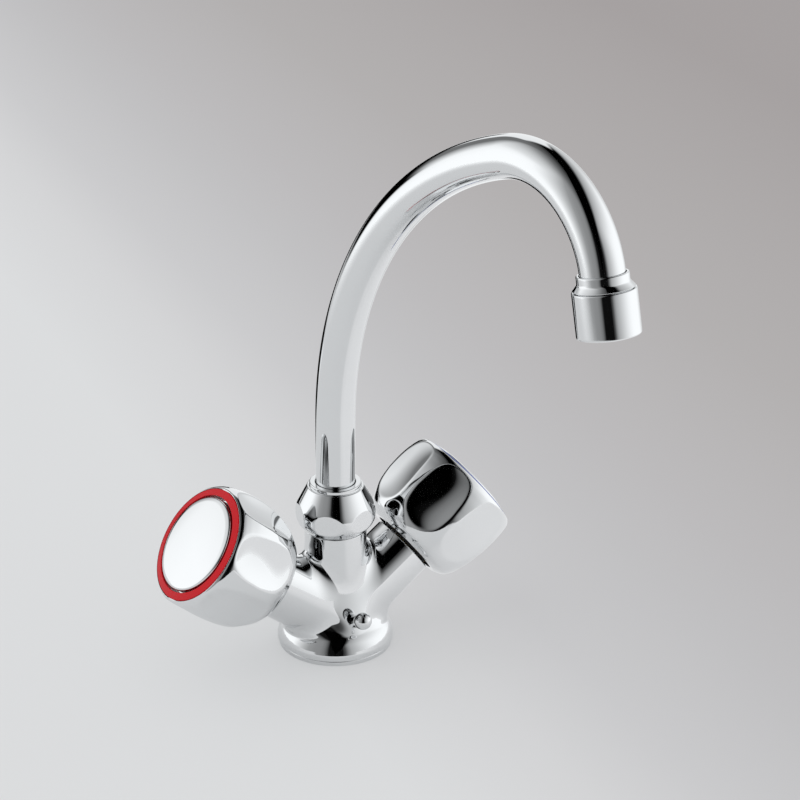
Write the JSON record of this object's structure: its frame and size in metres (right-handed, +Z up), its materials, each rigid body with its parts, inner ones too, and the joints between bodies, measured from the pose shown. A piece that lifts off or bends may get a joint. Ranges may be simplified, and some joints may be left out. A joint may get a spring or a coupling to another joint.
{
  "type": "basin mixer tap",
  "caption": "Single-hole basin mixer tap with a cast body, angled barrel knobs, screw-down valves and a swan-neck spout that swivels.",
  "frame": {"origin": "centre of the foot's underside on the deck, on the column's axis", "axes": "+Z up along the column, -Y to the front where the spout points, -X hot side, +X cold side"},
  "size_m": [0.1624, 0.2024, 0.2611],
  "materials": {
    "chrome": "polished chrome plate",
    "brass": "machined",
    "steel": "zinc plated",
    "rubber": "matt",
    "red_plastic": "gloss",
    "blue_plastic": "gloss",
    "white_plastic": "moulded"
  },
  "bodies": {
    "tap_body": {"body_casting": "chrome", "base_ring": "chrome", "base_gasket": "rubber", "chain_stud": "chrome", "spout_nut": "chrome", "hot_bonnet": "brass", "hot_bonnet_seal": "rubber", "cold_bonnet": "brass", "cold_bonnet_seal": "rubber"},
    "spout": {"spout_tube": "chrome", "spout_ferrule": "brass", "spout_slip_ring": "white_plastic", "spout_oring_lower": "rubber", "spout_oring_upper": "rubber", "outlet_fitting": "chrome", "aerator_housing": "chrome", "aerator_insert": "white_plastic", "aerator_washer": "rubber"},
    "hot_handle": {"hot_knob": "chrome", "hot_index_ring": "red_plastic", "hot_cap": "chrome", "hot_knob_screw": "steel", "hot_spindle": "brass", "hot_spindle_oring": "rubber", "hot_circlip": "steel"},
    "hot_valve": {"hot_plunger": "brass", "hot_washer": "rubber", "hot_washer_screw": "steel"},
    "cold_handle": {"cold_knob": "chrome", "cold_index_ring": "blue_plastic", "cold_cap": "chrome", "cold_knob_screw": "steel", "cold_spindle": "brass", "cold_spindle_oring": "rubber", "cold_circlip": "steel"},
    "cold_valve": {"cold_plunger": "brass", "cold_washer": "rubber", "cold_washer_screw": "steel"}
  },
  "joints": [
    {"name": "spout_swivel", "type": "hinge", "parent": "tap_body", "child": "spout", "pos_m": [0, 0, 0.06], "axis": [0, 0, 1], "continuous": true},
    {"name": "hot_handle_turn", "type": "hinge", "parent": "tap_body", "child": "hot_handle", "pos_m": [-0.04792, 0, 0.04921], "axis": [-0.7986, 0, 0.6018], "range_deg": [0, 540]},
    {"name": "hot_plunger_slide", "type": "slide", "parent": "tap_body", "child": "hot_valve", "axis": [-0.7986, 0, 0.6018], "range_m": [0, 0.00376]},
    {"name": "cold_handle_turn", "type": "hinge", "parent": "tap_body", "child": "cold_handle", "pos_m": [0.04792, 0, 0.04921], "axis": [0.7986, 0, 0.6018], "range_deg": [0, 540]},
    {"name": "cold_plunger_slide", "type": "slide", "parent": "tap_body", "child": "cold_valve", "axis": [0.7986, 0, 0.6018], "range_m": [0, 0.00376]}
  ],
  "couplings": [
    {"joint": "hot_plunger_slide", "follows": "hot_handle_turn", "m_per_rad": 0.00039789},
    {"joint": "cold_plunger_slide", "follows": "cold_handle_turn", "m_per_rad": 0.00039789}
  ]
}
